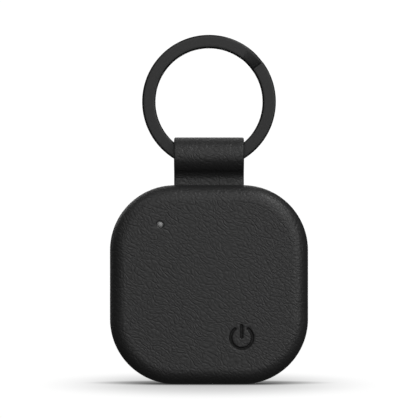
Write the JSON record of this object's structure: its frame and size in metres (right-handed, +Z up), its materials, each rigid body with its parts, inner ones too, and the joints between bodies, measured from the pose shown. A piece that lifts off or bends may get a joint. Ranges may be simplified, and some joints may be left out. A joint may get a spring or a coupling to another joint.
{
  "type": "bluetooth tracker tag",
  "caption": "Flat rounded-square tracker tag covered in black leather, with a folded leather strap, a flat split key ring, a small light and a press button.",
  "frame": {"origin": "under the middle of the tag, on the plane that its lower edge stands on, halfway through its thickness", "axes": "+Z up towards the key ring, -Y out of the face with the light and the button, +X to the right seen from that face"},
  "size_m": [0.0414, 0.008, 0.073],
  "materials": {
    "black_leather": "fine-grained matt black leather",
    "edge_paint": "matt black edge paint",
    "shell_plastic": "fine spark texture, black",
    "gasket_rubber": "matt dark grey silicone",
    "light_guide": "frosted clear plastic",
    "steel": "zinc plated",
    "can_metal": "tin plated",
    "board_laminate": "green solder mask",
    "chip_plastic": "matt black moulding",
    "chip_ceramic": "fired ceramic with tinned ends",
    "antenna_ceramic": "white fired ceramic",
    "led_package": "clear epoxy on white",
    "switch_plastic": "matt black moulding",
    "battery_foil": "satin pouch foil",
    "adhesive_foam": "white foam tape",
    "nickel": "bright nickel strip",
    "copper": "enamelled copper wire",
    "ferrite": "matt dark grey sheet",
    "buzzer_brass": "rolled brass",
    "piezo_ceramic": "silvered ceramic",
    "spring_brass": "gold flashed",
    "black_metal": "satin black coating"
  },
  "bodies": {
    "tag_body": {"battery_adhesive_pad": "adhesive_foam", "battery_cell": "battery_foil", "battery_tabs": "nickel", "board_screws": "steel", "buzzer_ceramic": "piezo_ceramic", "buzzer_contacts": "spring_brass", "buzzer_plate": "buzzer_brass", "case_screws": "steel", "charging_coil": "copper", "chip_antenna": "antenna_ceramic", "circuit_board": "board_laminate", "coil_leads": "copper", "ferrite_sheet": "ferrite", "front_leather_cover": "black_leather", "front_shell": "shell_plastic", "indicator_led": "led_package", "led_light_guide": "light_guide", "passive_components": "chip_ceramic", "perimeter_gasket": "gasket_rubber", "power_chip": "chip_plastic", "radio_chip": "chip_plastic", "rear_leather_cover": "black_leather", "rear_shell": "shell_plastic", "seam_bead": "edge_paint", "shield_can": "can_metal", "strap_pins": "steel", "strap_tail": "black_leather", "switch_housing": "switch_plastic", "timing_crystal": "can_metal"},
    "power_button": {"button_press_patch": "black_leather", "button_plunger": "shell_plastic", "switch_stem": "switch_plastic"},
    "strap": {"strap_loop": "black_leather"},
    "key_ring_body": {"key_ring": "black_metal"}
  },
  "joints": [
    {"name": "button_press", "type": "slide", "parent": "tag_body", "child": "power_button", "axis": [0, 1, 0], "range_m": [0, 0.0004], "stiffness_N_per_m": 3000},
    {"name": "strap_flex", "type": "hinge", "parent": "tag_body", "child": "strap", "pos_m": [0, 0, 0.0425], "axis": [1, 0, 0], "range_deg": [-60, 60], "stiffness_Nm_per_rad": 0.03},
    {"name": "ring_swing", "type": "hinge", "parent": "strap", "child": "key_ring_body", "pos_m": [0, 0, 0.0478], "axis": [1, 0, 0], "range_deg": [-100, 100]}
  ]
}
